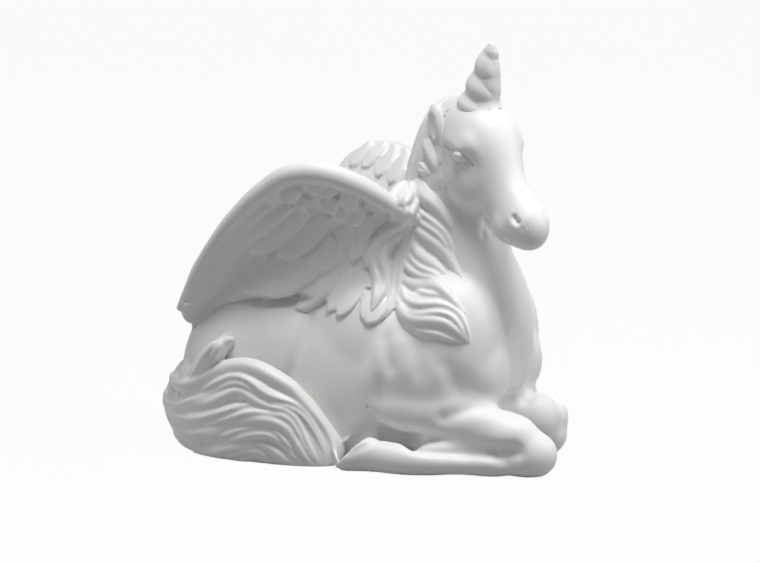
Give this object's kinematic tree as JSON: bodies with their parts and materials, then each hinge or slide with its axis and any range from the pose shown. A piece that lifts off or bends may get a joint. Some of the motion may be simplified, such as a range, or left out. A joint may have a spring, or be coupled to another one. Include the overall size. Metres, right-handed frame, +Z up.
{
  "type": "winged unicorn figurine",
  "caption": "Reclining winged unicorn ornament in unglazed white ceramic, with folded legs, a turned head, a spiral horn, cupped feathered wings and a tail wrapped round the haunch.",
  "frame": {"origin": "on the floor, under the middle of the figure's bounding box", "axes": "+X forward, the way the body faces; +Y to the figure's left; +Z up"},
  "size_m": [0.1336, 0.0758, 0.1237],
  "materials": {
    "bisque": "unglazed white bisque, matte, with fine pinholes and sponge marks"
  },
  "bodies": {
    "root": {"torso": "bisque", "neck": "bisque", "head": "bisque", "horn": "bisque", "right_ear": "bisque", "left_ear": "bisque", "right_foreleg": "bisque", "left_foreleg": "bisque", "right_hind_leg": "bisque", "left_hind_leg": "bisque", "right_wing": "bisque", "left_wing": "bisque", "tail": "bisque", "mane_crest": "bisque", "right_mane": "bisque", "left_mane": "bisque"}
  },
  "joints": []
}
